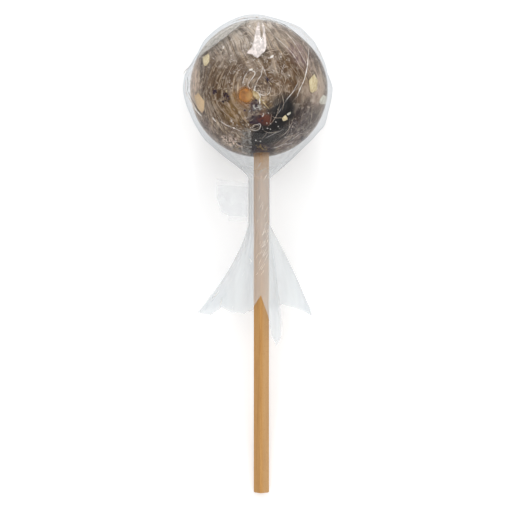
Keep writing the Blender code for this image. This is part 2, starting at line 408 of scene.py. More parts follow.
# The sugar's colours, and its zones in the order they are laid: a colour, then for each zone the pixel's x
# and y, its reach in pixels and its strength
PALE = rgb(208, 200, 190)
TAN = rgb(228, 206, 188)
BROWN = rgb(92, 67, 40)
PLUM = rgb(126, 102, 104)
DUSK = rgb(54, 44, 46)
CHARCOAL = rgb(10, 8, 12)
SLOE = rgb(50, 34, 48)
RUST = rgb(98, 50, 34)
UMBER = rgb(98, 80, 76)
GREY = rgb(86, 80, 76)
AMBER = rgb(150, 98, 44)
GOLD = rgb(190, 150, 92)
OLIVE = rgb(140, 108, 58)
SUGAR_ZONES = (
    (PALE, (238, 36, 36, 0.7)),
    (BROWN, (245, 58, 8, 0.6), (256, 66, 12, 0.35)),
    (PALE, (212, 42, 18, 0.4), (262, 22, 26, 0.9), (284, 42, 22, 0.15)),
    (TAN, (190, 88, 36, 1.0), (194, 84, 18, 0.9), (318, 88, 26, 0.6), (302, 90, 16, 0.2)),
    (BROWN, (224, 104, 32, 1.0), (284, 76, 36, 1.0), (288, 88, 20, 0.8), (236, 78, 16, 0.8)),
    (BROWN, (216, 76, 14, 0.6), (250, 118, 18, 0.8), (245, 80, 7, 0.9)),
    (PLUM, (302, 54, 22, 0.9), (212, 130, 26, 0.4)),
    (BROWN, (222, 126, 24, 0.8), (232, 138, 20, 1.0)),
    (PLUM, (232, 154, 22, 0.6)),
    (DUSK, (296, 130, 46, 1.0), (262, 116, 18, 0.6)),
    (OLIVE, (266, 103, 10, 0.9), (234, 99, 9, 0.7), (234, 116, 18, 0.6)),
    (AMBER, (245, 96, 13, 1.0)),
    (GOLD, (253, 97, 7, 0.8)),
    (UMBER, (288, 146, 26, 0.8)),
)
DARK_ZONES = (
    (CHARCOAL, (284, 112, 22, 1.0), (270, 127, 23, 1.0), (261, 140, 20, 1.0), (278, 134, 18, 0.7)),
    (CHARCOAL, (260, 150, 20, 1.0)),
    (SLOE, (254, 104, 8, 0.7), (256, 121, 10, 0.7), (262, 149, 12, 0.85)),
    (RUST, (265, 117, 9, 0.85)),
    (GREY, (246, 134, 7, 0.8), (246, 142, 7, 0.8), (246.5, 150, 8, 0.8)),
)
# The frothy place at the lower left and the calm one at the lower right
FROTH_PX = (231, 142)
CALM_PX = (306, 122)


def zones_of(look, place, zones):
    """Each zone's colour, and how strongly it shows at the place."""
    for colour, *spots in zones:
        for x, y, reach, strength in spots:
            yield colour, look.times(near(look, place, (x, y), reach), strength)


def core_look():
    """Cloudy streaked sugar, lighter and darker in zones, with small bubbles."""
    look = Nodes("cloudy_sugar")
    place = look.place()
    ragged = wandering(look, place, 0.3, 4.0)
    flows = sugar_flows(look, place)
    broad = streaks(look, flows, 0.28, 0.9, 0.16, detail=2.0)
    stroke = streaks(look, flows, 0.60, 0.9, 0.3, detail=2.0)
    fine = streaks(look, flows, 1.4, 1.1, 0.6)
    hair = streaks(look, flows, 3.0, 1.5, 1.2)
    mottle = look.noise(place, 0.85, 4.0, 0.65, warp=0.8)
    cloud = look.noise(place, 0.32, 2.0, warp=0.5)
    lively = look.math("ADD", look.times(near(look, ragged, CALM_PX, 50), -0.8), 1.0)
    busy = look.times(look.range(look.noise(place, 0.11, 1.0), 0.36, 0.54, 0.45, 0.95), lively)
    base = look.ramp(
        broad, (0.34, rgb(84, 66, 52)), (0.50, rgb(114, 97, 82)), (0.62, rgb(144, 130, 116)), smooth=True
    )
    for colour, share in zones_of(look, ragged, SUGAR_ZONES):
        base = look.mix(share, base, colour)
    # Each colour comes in while its layer goes from the first value to the second, up to the share most
    for layer, first, second, most, colour, within in (
        (stroke, 0.49, 0.35, 0.7, rgb(66, 48, 32), lively),
        (stroke, 0.54, 0.68, 0.45, rgb(182, 162, 140), lively),
        (cloud, 0.48, 0.34, 0.35, rgb(78, 60, 46), 1.0),
        (cloud, 0.52, 0.66, 0.35, rgb(196, 184, 170), 1.0),
        (mottle, 0.45, 0.28, 0.5, rgb(66, 50, 40), 1.0),
        (mottle, 0.54, 0.70, 0.65, rgb(208, 196, 182), 1.0),
        (fine, 0.45, 0.34, 0.5, rgb(60, 44, 32), busy),
        (fine, 0.57, 0.68, 0.6, rgb(188, 168, 142), busy),
        (hair, 0.45, 0.34, 0.5, rgb(70, 54, 40), busy),
        (hair, 0.57, 0.68, 0.6, rgb(208, 192, 170), busy),
    ):
        base = look.mix(look.times(look.range(layer, first, second, 0.0, most), within), base, colour)
    faint_strokes = look.range(fine, 0.72, 0.58, 0.94, 1.0)
    for colour, share in zones_of(look, ragged, DARK_ZONES):
        base = look.mix(look.times(share, faint_strokes), base, colour)
    foam = look.noise(place, 1.0, 3.0, 0.6, warp=1.2)
    frothy = near(look, ragged, FROTH_PX, 15)
    for first, second, colour in ((0.48, 0.40, rgb(66, 46, 40)), (0.50, 0.56, rgb(246, 226, 212))):
        base = look.mix(look.times(look.range(foam, first, second, 0.0, 0.9), frothy), base, colour)
    dots = look.add("ShaderNodeTexVoronoi", {"Vector": place, "Scale": 0.75}).outputs["Distance"]
    crowd = look.range(look.noise(place, 0.16, 2.0), 0.45, 0.62)
    bubbles = look.times(look.range(dots, 0.20, 0.10), crowd)
    base = look.mix(look.times(bubbles, 0.5), base, rgb(210, 200, 186))
    return look.finish(look.surface(base, 0.4, {"Normal": look.bump(fine, 0.2, 0.5)}))


def shell_look():
    """Clear sugar with a faint brown tint."""
    look = Nodes("clear_sugar")
    ripple = look.bump(look.noise(look.place(), 0.35, 2.0), 0.08, 0.35)
    more = {"IOR": 1.12, "Transmission Weight": 1.0, "Normal": ripple}
    shader = look.surface((1.0, 1.0, 1.0), 0.0, more)
    absorb = look.add("ShaderNodeVolumeAbsorption", {"Color": (0.66, 0.56, 0.46), "Density": 220.0})
    return look.finish(shader, absorb.outputs[0])


def turns_of(columns):
    return np.arange(columns) * 2 * math.pi / columns


def ball_ring(radius, polar, turns):
    """A ring of points round the ball, at an angle from its top."""
    across = radius * math.sin(polar)
    high = np.full(len(turns), math.cos(polar)) * radius
    return np.stack([across * np.cos(turns), high, across * np.sin(turns)], axis=1)


def ball_points(rings, segments):
    """The directions of a ball's points, ring by ring from its top to its bottom, and its faces."""
    polars = [math.pi * i / rings for i in range(1, rings)]
    circles = [ball_ring(1.0, polar, turns_of(segments)) for polar in polars]
    points = np.concatenate([[(0.0, 1.0, 0.0)], *circles, [(0.0, -1.0, 0.0)]])
    last = len(points) - 1
    starts = range(1, last, segments)
    caps = fan(0, range(segments, 0, -1)) + fan(last, range(starts[-1], last))
    return points, bands(starts, segments) + caps


def make_shell():
    directions, faces = ball_points(rings=64, segments=128)
    piece = add_piece("sugar_shell", flattened(directions * RADIUS), faces, shell_look(), "sugar")
    piece.visible_shadow = False
    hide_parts("candy")


# How far round the stick's middle the cloudy sugar keeps back, in millimetres, and how deep, as a share of
# the ball's radius
STICK_REACH = 4.5
STICK_RECESS = 0.13


def core_radius(direction):
    """How far out the cloudy sugar comes in a direction: uneven, and drawn into ridges round the swirl."""
    low = noise.noise(Vector(direction) * 1.7 + Vector((3.1, 0.4, 7.7)))
    mid = noise.noise(Vector(direction) * 4.5 + Vector((9.2, 5.1, 1.3)))
    x, y, z = direction
    out = math.hypot(x, y)
    ridge = noise.noise(Vector((out * 24.0, z * 9.0, math.atan2(abs(y), x) * 1.5)))
    from_stick = math.hypot(x * RADIUS - STICK_OFFSET, z * RADIUS) if y < 0 else RADIUS
    recess = STICK_RECESS * math.exp(-((from_stick / STICK_REACH) ** 4))
    return RADIUS * (0.955 + 0.014 * low + 0.008 * mid + 0.004 * ridge - recess)


def make_core():
    directions, faces = ball_points(rings=90, segments=180)
    radii = np.array([core_radius(d) for d in directions])
    add_piece("cloudy_sugar", flattened(directions * radii[:, None]), faces, core_look(), "sugar")


def plain_look(name, colour, second, roughness, scale):
    """An uneven mix of two colours, for what is sunk in the sugar."""
    look = Nodes(name)
    patches = look.noise(look.stretched(look.place(), 0.4), scale, 4.0, 0.6)
    base = look.ramp(patches, (0.38, rgb(*second)), (0.6, rgb(*colour)))
    return look.finish(look.surface(base, roughness, {"Normal": look.bump(patches, 0.15, 0.7)}))


def peel_look():
    """Clear orange peel, golden at its right, that fades into the sugar at its edges."""
    look = Nodes("peel")
    place = look.place()
    grain = look.noise(look.stretched(place, 0.35), 1.2, 3.0, 0.6)
    base = look.ramp(grain, (0.36, rgb(126, 82, 38)), (0.62, rgb(166, 108, 44)))
    base = look.mix(look.times(near(look, place, (252, 96.5), 8), 0.8), base, rgb(166, 128, 76))
    shown = near(look, place, PEEL_PIECES[0][0], 10)
    return look.finish(look.blend(shown, look.clear(), look.surface(base, 0.4)))


def turned(across, up, degrees):
    turn = math.radians(degrees)
    return across * math.cos(turn) - up * math.sin(turn), across * math.sin(turn) + up * math.cos(turn)


def crumb(draw, pixel, size, turn, radius, thick, corners=7):
    """An angular flake. Size is its width and height in pixels as seen, radius how far out it is."""
    rims = []
    for k in range(corners):
        way = 2 * math.pi * (k + draw.uniform(-0.35, 0.35)) / corners
        reach = draw.uniform(0.62, 1.15)
        rims.append(turned(size[0] / 2 * math.cos(way) * reach, size[1] / 2 * math.sin(way) * reach, turn))
    layers = ((0.6, thick / 2), (0.95, thick / 3), (1.0, 0.0), (0.95, -thick / 3), (0.6, -thick / 2))
    points = []
    for share, level in layers:
        for across, up in rims:
            points.append(on_ball(pixel[0] + across * share, pixel[1] - up * share, radius + level))
    points.append(on_ball(*pixel, radius + thick * draw.uniform(0.45, 0.6)))
    points.append(on_ball(*pixel, radius - thick / 2))
    top, bottom = len(points) - 2, len(points) - 1
    lowest = (len(layers) - 1) * corners
    caps = fan(top, range(corners)) + fan(bottom, range(lowest + corners - 1, lowest - 1, -1))
    return points, bands(range(lowest, -1, -corners), corners) + caps


def joined(parts):
    """Several shapes' points and faces as those of one."""
    points, faces = [], []
    for some_points, some_faces in parts:
        start = len(points)
        points.extend(some_points)
        faces.extend(tuple(i + start for i in face) for face in some_faces)
    return points, faces


# Crumbs sunk in the sugar: pixel, width and height in pixels, turn in degrees, how many
NUT_CHIPS = (
    ((207.0, 60.5), (8.5, 17), -14, 1), ((313.0, 84), (9, 21), 6, 1), ((285.0, 118), (7, 6), 20, 1),
)
PALE_CHIPS = (
    ((321.6, 100.0), (7, 12), -4, 1), ((288.8, 113.6), (6, 2.6), 38, 1),
)
FRUIT_CHIPS = (
    ((200.6, 102.0), (9, 23), 14, 1),
)
PEEL_PIECES = (
    ((245.5, 95.5), (27, 24), 0, 1),
)
SLIVERS = (
    ((257, 95.4), (6, 14), 42, 1), ((264.8, 104), (1.8, 15), 41, 1), ((270, 83), (1.2, 6), 38, 1),
    ((228, 93), (5, 4), 0, 3),
)
SEEDS = (
    ((261, 147), (15, 6), 0, 16), ((236, 146), (9, 8), 0, 7),
)
BERRY_PIECES = (
    ((217, 92), (12, 4), -8, 7), ((225, 96), (7, 8), 10, 14), ((225, 101), (4, 6), 10, 4),
    ((254, 103), (12, 8), 20, 9), ((252, 112), (14, 6), 5, 8), ((259, 117), (12, 10), 20, 8),
    ((245, 122), (18, 7), 0, 8), ((268.4, 81), (3, 12), 38, 1), ((257, 149), (18, 6), 0, 10),
    ((252.5, 152.5), (4, 3), 0, 3), ((238, 146), (14, 6), 0, 4), ((299, 138), (20, 6), 20, 7),
)
# Bubbles: pixel, then half width and half height in pixels
BUBBLES = (
    ((218.7, 48.5), (4.5, 5.5)), ((256, 127), (3.5, 2.6)), ((247, 40), (3, 3.5)), ((251, 46), (2, 2.4)),
    ((244, 44), (2, 2)), ((246, 34), (2.5, 2)), ((229, 139), (3, 2.5)), ((235, 146), (2.5, 2)),
    ((276, 92), (2, 2)), ((286, 53), (2.5, 2)), ((312, 71), (2.2, 2)),
)


def add_crumbs(name, places, look, thick, above, seed, corners=7, largest=3.8, smooth=False):
    """Crumbs this far above the core's mean: at each place one flake, or small ones up to largest wide."""
    draw = random.Random(seed)
    radius = CORE_RADIUS + above
    parts = []
    for pixel, size, turn, count in places:
        if count == 1:
            parts.append(crumb(draw, pixel, size, turn, radius, thick, corners))
            continue
        for _ in range(count):
            across, up = turned(draw.gauss(0, size[0] / 3.6), draw.gauss(0, size[1] / 3.6), turn)
            spot = pixel[0] + across, pixel[1] - up
            fleck = draw.uniform(0.3, 1.0) * largest, draw.uniform(0.27, 0.63) * largest
            depth = radius + draw.uniform(0, 0.15)
            parts.append(crumb(draw, spot, fleck, draw.uniform(0, 180), depth, thick, corners=6))
    add_piece(name, *joined(parts), look, "sugar", smooth)


def make_crumbs():
    """The fruit, nut, seed and berry pieces that are sunk in the sugar."""
    nut = plain_look("nut", (222, 210, 174), (192, 172, 128), 0.5, 1.6)
    pale = plain_look("pale_nut", (222, 220, 206), (190, 186, 172), 0.5, 1.0)
    fruit = plain_look("dried_fruit", (222, 194, 154), (212, 182, 142), 0.5, 0.5)
    sliver = plain_look("rind", (204, 186, 148), (148, 124, 82), 0.4, 1.8)
    seed = plain_look("seed", (150, 126, 70), (104, 84, 46), 0.4, 1.2)
    berry = plain_look("berry", (52, 32, 52), (26, 18, 30), 0.35, 1.0)
    add_crumbs("nut_chips", NUT_CHIPS, nut, 0.7, 0.0, 4)
    add_crumbs("pale_chips", PALE_CHIPS, pale, 0.6, 0.0, 9)
    add_crumbs("fruit_chip", FRUIT_CHIPS, fruit, 0.6, 0.0, 12)
    add_crumbs("seeds", SEEDS, seed, 0.2, 0.25, 13, largest=2.4)
    add_crumbs("fruit_peel", PEEL_PIECES, peel_look(), 0.5, -0.15, 5, corners=13, smooth=True)
    add_crumbs("rind_slivers", SLIVERS, sliver, 0.4, 0.1, 6)
    add_crumbs("berry_pieces", BERRY_PIECES, berry, 0.4, -0.1, 7)


def tube(path, radius, sides=5, uneven=0.0):
    """A round strand along a path, thin at both ends."""
    points = []
    count = len(path)
    for i, spot in enumerate(path):
        ahead = (path[min(i + 1, count - 1)] - path[max(i - 1, 0)]).normalized()
        side = ahead.cross(spot).normalized()
        up = side.cross(ahead)
        thick = radius * max(math.sin(math.pi * i / (count - 1)), 0.02) ** 0.5
        thick *= 1 + uneven * noise.noise(spot * 1.1)
        for k in range(sides):
            turn = 2 * math.pi * k / sides
            points.append(tuple(spot + (side * math.cos(turn) + up * math.sin(turn)) * thick))
    faces = bands(range(0, len(points), sides), sides)
    faces.append(tuple(reversed(range(sides))))
    faces.append(tuple((count - 1) * sides + k for k in range(sides)))
    return points, faces


# The threads in the sugar: how many, their points, and how deep they lie in millimetres
THREADS = 100
THREAD_POINTS = 18
THREAD_DEPTH = 0.6


def make_threads():
    """Fine pale threads that follow the swirl, two of three where they show, and the bubbles' rims."""
    draw = random.Random(11)
    middle = Vector((*from_pixel(*SWIRL_PX), 0.0))
    level = RADIUS - THREAD_DEPTH
    parts = []
    for n in range(THREADS):
        side = 1 if n % 3 else -1
        centre = middle + Vector((draw.gauss(0, 2.5), draw.gauss(0, 2.5), 0.0))
        out = draw.uniform(5.0, 23.0)
        begin = draw.uniform(0, 2 * math.pi)
        span = draw.uniform(0.2, 0.8)
        drift = draw.gauss(0, 2.2)
        sway = draw.uniform(0, 0.5)
        path = []
        for share in np.linspace(0.0, 1.0, THREAD_POINTS).tolist():
            turn = begin + span * share
            reach = out + drift * share + sway * math.sin(5 * share)
            flat = centre + Vector((math.cos(turn), math.sin(turn), 0.0)) * reach
            if flat.length < level - 0.3:
                path.append(Vector((flat.x, flat.y, side * math.sqrt(level**2 - flat.x**2 - flat.y**2))))
        if len(path) > 5:
            parts.append(tube(path, draw.uniform(0.03, 0.09)))
    for (x, y), (wide, high) in BUBBLES:
        turns = [2 * math.pi * k / 14 for k in range(15)]
        rim = [on_ball(x + wide * math.cos(turn), y + high * math.sin(turn), level) for turn in turns]
        parts.append(tube(rim, 0.11, uneven=1.2))
    points, faces = joined(parts)
    look = plain_look("thread", (200, 186, 170), (150, 132, 114), 0.4, 0.8)
    add_piece("sugar_threads", flattened(np.array(points)), faces, look, "sugar")


def slack_at(degrees, turns):
    """How far the film stands off the ball, at an angle from the ball's top."""
    right, left, middle = (
        np.interp(degrees, *zip(*slack)) for slack in (RIGHT_SLACK, LEFT_SLACK, MIDDLE_SLACK)
    )
    side = np.where(np.cos(turns) > 0, right, left)
    return middle + (side - middle) * np.abs(np.cos(turns)) ** SIDE_SHARPNESS


def leftness(turns):
    """0 at the right of the stick and 1 at its left."""
    return (1 - np.cos(turns)) / 2


def neck_radius(turns):
    return STICK_HALF_WIDTH + NECK_CLEARANCE + NECK_BUNCH * leftness(turns) ** 3


def pleats_at(turns):
    """0 in the valleys of the gathered film and 1 on its ridges."""
    column = turns / (2 * math.pi) * 2 * PLEATS
    return 1 - np.abs(column % 2 - 1)


def pleat_depth(turns):
    return PLEAT_DEPTH * (1 + leftness(turns))


def stick_ring(radius, y, turns):
    """A ring of points round the stick."""
    across, deep = radius * np.cos(turns), radius * np.sin(turns)
    return np.stack([STICK_OFFSET + across, np.full(len(turns), y), deep], axis=1)


def neck_ring(y, turns):
    return stick_ring(neck_radius(turns) + pleat_depth(turns) * pleats_at(turns), y, turns)


def outward(ring):
    """The direction away from the stick's axis at each point of a ring."""
    flat = (ring - (STICK_OFFSET, 0.0, 0.0)) * (1.0, 0.0, 1.0)
    return flat / np.linalg.norm(flat, axis=1)[:, None]


def skirt_ring(down, neck, turns):
    """The flared film at a share of the way down from the neck's last ring to the hem."""
    keys = np.array(HEM)
    at = turns / (2 * math.pi) * HEM_COLUMNS
    x, y, z, half = (np.interp(at, keys[:, 0], keys[:, i], period=HEM_COLUMNS) for i in range(1, 5))
    hem = np.stack([x, y, z], axis=1)
    out = (4 * half - 1) * down + (2 - 4 * half) * down**2
    share = np.stack([out, np.full(len(turns), down), out], axis=1)
    ring = neck + (hem - neck) * share
    pleats = SKIRT_PLEAT * pleats_at(turns) * math.sin(math.pi * down) * (1 - down)
    return ring + outward(ring) * pleats[:, None]


def film_rings():
    """Rings of points down the film, from just off the ball's top to the hem."""
    turns = turns_of(FILM_COLUMNS)
    rings = []
    for i in range(1, BALL_RINGS + 1):
        degrees = LEAVES_CANDY_AT * i / BALL_RINGS
        rings.append(ball_ring(RADIUS + slack_at(degrees, turns), math.radians(degrees), turns))
    leaves, neck_top = rings[-1], neck_ring(NECK_TOP, turns)
    for i in range(1, CONE_RINGS):
        down = i / CONE_RINGS
        ring = leaves + (neck_top - leaves) * down
        ring[:, 0] -= CONE_BULGE * leftness(turns) ** 3 * down**3 * (1 - down) / BULGE_PEAK
        pleats = CONE_PLEAT * math.sin(math.pi * down) * pleats_at(turns)
        rings.append(ring + outward(ring) * pleats[:, None])
    for y in np.linspace(NECK_TOP, NECK_BOTTOM, NECK_RINGS):
        rings.append(neck_ring(y, turns))
    neck_bottom = rings[-1]
    for i in range(1, SKIRT_RINGS + 1):
        rings.append(skirt_ring(i / SKIRT_RINGS, neck_bottom, turns))
    return rings


def above_floor(points):
    """Points moved up, square to the stick, where they would pass below the floor."""
    too_low = np.minimum(laid_down(points)[:, 2] / MM - LEAST_ABOVE_FLOOR, 0.0)
    points[:, 2] -= too_low / math.cos(TILT)
    return points


def film_look(name, face_tint, edge_tint, gathered_haze):
    """Clear film: glossy, and the whiter the more it is gathered, so most of all below the ball.

    It mirrors little face on and more edge on, from both sides.
    """
    look = Nodes(name)
    place = look.place()
    normal = look.bump(look.noise(place, 0.45, 3.0, 0.5, warp=0.6), 0.12, 0.25)
    height = look.split(place)["Y"]
    gathered = look.range(height, *GATHERED_BETWEEN)
    shine = look.range(height, *GATHERED_BETWEEN, 1.0, GATHERED_SHINE)
    folds = look.noise(look.stretched(place, 0.12), 0.22, 1.0)
    milky = look.times(gathered, look.range(folds, 0.35, 0.7, *gathered_haze))
    slope = look.add("ShaderNodeLayerWeight").outputs["Facing"]
    tint = look.mix(look.times(look.math("POWER", slope, 2.5), shine), face_tint, edge_tint)
    edge = look.add("ShaderNodeLayerWeight", {"Normal": normal}).outputs["Facing"]
    mirrored = look.times(look.math("POWER", edge, 5.0), MOST_GLOSS - LEAST_GLOSS)
    mirrored = look.times(look.math("ADD", mirrored, LEAST_GLOSS), shine)
    mirror = {"Color": (1.0, 1.0, 1.0), "Roughness": 0.05, "Normal": normal}
    gloss = look.add("ShaderNodeBsdfGlossy", mirror).outputs[0]
    glossy = look.blend(mirrored, look.clear(tint), gloss)
    return look.finish(look.blend(look.math("ADD", milky, BALL_HAZE), glossy, look.matt(232, 236, 238)))


def tape_look():
    """Matt milky tape that can't be told from the film where it is stuck to it round the neck."""
    look = Nodes("milky_tape")
    place = look.place()
    cloud = look.noise(place, 0.25, 1.0)
    free = look.range(look.split(place)["X"], NECK_LEFT, NECK_LEFT - 0.6)
    milky = look.times(look.range(cloud, 0.3, 0.7, *TAPE_HAZE), free)
    return look.finish(look.blend(milky, look.clear((0.995, 0.995, 0.995)), look.matt(236, 238, 240)))


def make_film():
    top = np.array([[0.0, RADIUS + MIDDLE_SLACK[0][1], 0.0]])
    points = above_floor(np.concatenate([top, *film_rings()]))
    faces = fan(0, range(FILM_COLUMNS, 0, -1)) + bands(range(1, len(points), FILM_COLUMNS), FILM_COLUMNS)
    look = film_look("clear_film", FILM_TINT, EDGE_TINT, GATHERED_HAZE)
    piece = add_piece("film", points, faces, look, "film")
    piece.data.set_sharp_from_angle(angle=math.radians(40))
    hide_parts("wrapper")


# How far the creases and the facets lie above the film
CREASE_ABOVE = 0.04
FACET_ABOVE = 0.06
# The gathered film over the stick: its height over the stick's middle, and its rise down the skirt
GATHERED_HEIGHT = 3.75
SKIRT_RISE = 0.075
# The direction of the crinkles over the stick, in degrees, and its scatter
CRINKLE_TURN = (63, 7)

# Bright creases of the film over the ball, pale as painted highlights: half width in millimetres, then
# pixels along it
CREASES = (
    (0.11, ((309, 45), (308.2, 56.5), (307, 68), (304.2, 79.5), (300, 89), (296.5, 98))),
    (0.06, ((299, 80.5), (295.5, 87.5), (291, 94.5), (286.3, 99.5))),
    (0.12, ((247.8, 70.9), (250.6, 70.4), (255, 72.4), (253.6, 76.4), (249.8, 81.6), (248.4, 85))),
    (0.10, ((248.4, 85), (248.8, 87.4), (250.6, 88.4))),
    (0.06, ((247.8, 71.8), (244.8, 76.4), (243.3, 81), (242.8, 87))),
    (0.09, ((258.3, 59), (260.2, 63.6), (262.8, 66.8), (261.9, 71), (261, 75.5), (257.8, 80), (256, 85.5))),
    (0.14, ((256, 85.5), (254.7, 88), (254.9, 91))),
    (0.07, ((262.8, 66.8), (265, 71.8), (266.8, 77))),
    (0.09, ((254.9, 90), (257.8, 92.4), (262.4, 95), (266.9, 95.2))),
    (0.14, ((266.9, 95.2), (269.6, 92.4), (270.6, 88.6), (269, 86.4))),
    (0.18, ((258.4, 93), (260.2, 96), (260.4, 98.4))),
    (0.20, ((186.7, 93), (190, 99.5), (194, 107), (197.6, 112), (201.7, 116.2))),
    (0.06, ((267.7, 29.3), (276.8, 38.4), (285.9, 46.5), (293.2, 54.7), (300.5, 66.5))),
    (0.06, ((282.3, 30.2), (290, 37), (297.7, 48.4), (307.7, 66.5))),
    (0.13, ((212.5, 117), (214, 119.6), (216, 122))),
    (0.08, ((220, 120.8), (226, 125), (233.8, 128), (241.7, 131.7))),
    (0.08, ((250, 127), (252.6, 130), (257.6, 130.4), (260.4, 127), (259.6, 123.8), (255, 125.6),
            (252, 128))),
    (0.05, ((296, 89), (287.8, 98.2), (277, 115.5))),
    (0.09, ((200, 53), (206, 45.4), (214, 38.4), (225, 30.6), (236, 24.4), (246, 20.6))),
    (0.18, ((193.6, 68.8), (190.6, 71.8), (188.6, 75.6))),
    (0.15, ((191.4, 78), (190.8, 80), (189.8, 81.6))),
    (0.08, ((186.0, 78), (185.6, 88), (187, 97))),
    (0.14, ((250, 17.4), (254.5, 16.8), (259, 17.2))),
    (0.10, ((238, 19.6), (245, 17.4), (252, 16.2))),
    (0.10, ((262, 17.4), (270, 19.4), (278, 22))),
    (0.08, ((290, 24), (300.5, 29.2))),
    (0.08, ((303, 32.5), (313, 41.5))),
    (0.08, ((316, 46), (321.6, 57))),
    (0.06, ((301, 29), (306, 38), (308.6, 46))),
    (0.05, ((270, 148.6), (276, 147.4), (283.6, 144.2), (289, 143.8), (294, 141))),
    (0.04, ((290, 141), (296, 137), (300, 133.8), (307, 133.2))),
    (0.03, ((262, 139.6), (269, 136.4), (278, 131.8), (284, 129))),
)
# Where the film is finely crinkled, in crinkles pale as painted highlights: pixel, reach in pixels and how
# many crinkles
CRINKLED = (
    ((260, 96), 10, 12), ((248, 45), 8, 16), ((276, 66), 12, 12), ((256, 64), 9, 12), ((236, 66), 12, 10),
    ((232, 141), 9, 16), ((222, 60), 14, 8), ((296, 132), 14, 8), ((257, 108), 9, 7), ((290, 143), 8, 9),
)
# Glints on the film: pixel, width and height in pixels, and turn in degrees
GLINTS = (
    ((223.3, 47.5), (1.6, 4.2), 0), ((249.8, 25.9), (1.9, 1.9), 0), ((271.8, 56.8), (5.2, 2.8), 32),
    ((259.6, 101.6), (1.5, 6.4), 3), ((262.6, 116), (1.4, 1.4), 0), ((251, 69.5), (4.6, 2.2), 28),
    ((281, 57), (2, 1.4), 0), ((233.8, 128), (2.2, 2.2), 0), ((255.8, 140.4), (2.2, 1.4), 0),
    ((260.4, 141.3), (1.6, 1.6), 0), ((267.5, 128.3), (2, 1.3), 0), ((270.4, 129.2), (1.4, 1.3), 0),
    ((278.2, 126.4), (1.7, 1.4), 0), ((239.5, 19.7), (2.4, 1.4), 20), ((269, 19.3), (2, 1.2), 0),
)
# Where the candy glitters: pixel, reach across and down in pixels, and how many glints
GLITTERING = (
    ((238, 77), (7, 6), 14), ((277, 62), (9, 6), 16), ((246, 123), (10, 4), 20), ((238, 40), (8, 7), 10),
    ((292, 128), (12, 8), 12),
)
# Bright creases of the gathered film, pale as painted highlights: pixels along each
SKIRT_CREASES = (
    ((212, 300), (216, 295), (220, 289.5)),
    ((219.5, 308), (221.5, 302), (222, 297)),
    ((232, 311), (233.2, 305)),
    ((249, 258), (251.5, 261), (250, 264)),
    ((242.5, 276), (245, 271)),
    ((256.5, 177), (261, 171.6), (267, 168)),
    ((263.6, 181), (266, 176.5), (268.4, 174)),
)
# Where the film over the stick is crinkled, in crinkles pale as painted highlights: pixel, reach across and
# down, how many, longest in pixels
STICK_CRINKLES = (
    ((262, 250), (2.4, 9.0), 34, 13.0),
    ((261, 222), (5.0, 28.0), 30, 9.0),
)
# Painted shade: grey lines along the film's folds and edges: half width in millimetres, then pixels along
# them
SHADED_CREASES = (
    (0.10, ((187.9, 91.4), (191.2, 98), (195.2, 105.4), (199, 110.6), (203.2, 115))),
    (0.10, ((200, 54.6), (204.6, 47), (213.8, 45.4), (225, 37.6), (234, 30.2), (245.6, 21.6), (251, 19.8))),
    (0.08, ((183.4, 74), (185.6, 70.4), (190, 66.4), (194.4, 61))),
    (0.08, ((187.4, 77), (188, 84), (187.4, 92))),
    (0.08, ((304.4, 42.2), (309.6, 46), (314.4, 52.6), (318.4, 59.4), (322, 68))),
    (0.07, ((232, 22.4), (240, 19.4), (250, 17.9), (262, 18.4), (272, 20.4))),
    (0.09, ((268, 20.6), (276, 21.6), (284, 24.6), (291, 29.4), (298, 35.8), (303, 41.6))),
)
# Film facets that catch the light, as painted highlights and sheen: colour, least and most opacity, outline
# in pixels
FACET_HIGHLIGHTS = (
    # painted highlight: the dent near the ball's top that mirrors the key light
    ("film_dent_highlight", rgb(224, 214, 210), (0.65, 1.0), (
        (258.2, 21.6), (255.9, 29.3), (254.1, 39.3), (252.3, 46.5), (246.6, 52.9), (249.5, 53.9),
        (252.4, 54.2), (254.2, 56.6), (257.7, 58), (260, 55.4), (265, 51.2), (266.4, 45.8), (265.6, 34.7),
        (264.6, 27.5), (263, 23.2), (262, 23.6), (262.7, 28.6), (263, 34), (262.1, 39.6), (261.3, 39.8),
        (260.3, 34), (259.6, 27.5), (259.4, 23.4),
    )),
    # painted sheen: a pale veil of film over the upper left
    ("film_veil_sheen", rgb(200, 198, 192), (0.45, 0.65), (
        (199.6, 53.5), (206, 44.2), (214, 36), (225, 28.5), (236, 23.3), (246, 20.4), (251, 19.6),
        (246, 22.2), (234, 30.5), (225, 38), (214, 46), (205, 52), (199.5, 57),
    )),
    # painted sheen: a light grey band of film over the dark sugar low down
    ("film_band_sheen", rgb(160, 156, 150), (0.0, 0.6), (
        (242.4, 129), (247, 127.6), (250.8, 130), (251.4, 138), (251.8, 146), (252.4, 154.6), (247, 155.6),
        (241.6, 154.6), (240.8, 146), (241.6, 138),
    )),
    # painted highlight: a pale smear below the middle
    ("film_smear_highlight", rgb(206, 204, 198), (0.0, 0.42), (
        (250.8, 106.2), (254, 104.6), (258, 104.8), (262, 106.6), (263, 109), (259, 110.6), (254, 110.8),
        (251, 109),
    )),
)


def on_film(x, y, above=CREASE_ABOVE):
    """The point of the film over the ball at a pixel, this far above it."""
    radius = RADIUS + MIDDLE_SLACK[-1][1]
    for _ in range(3):
        spot = on_ball(x, y, radius)
        degrees = math.degrees(math.acos(max(-1.0, min(1.0, spot.y / radius))))
        radius = RADIUS + float(slack_at(degrees, np.array([math.atan2(spot.z, spot.x)]))[0]) + above
    return on_ball(x, y, radius)


def over_stick(x, y):
    """The point of the gathered film over the stick at a pixel."""
    across, up = from_pixel(x, y)
    rise = max(NECK_BOTTOM - up, 0.0) * SKIRT_RISE
    return Vector((across, up, GATHERED_HEIGHT + rise))


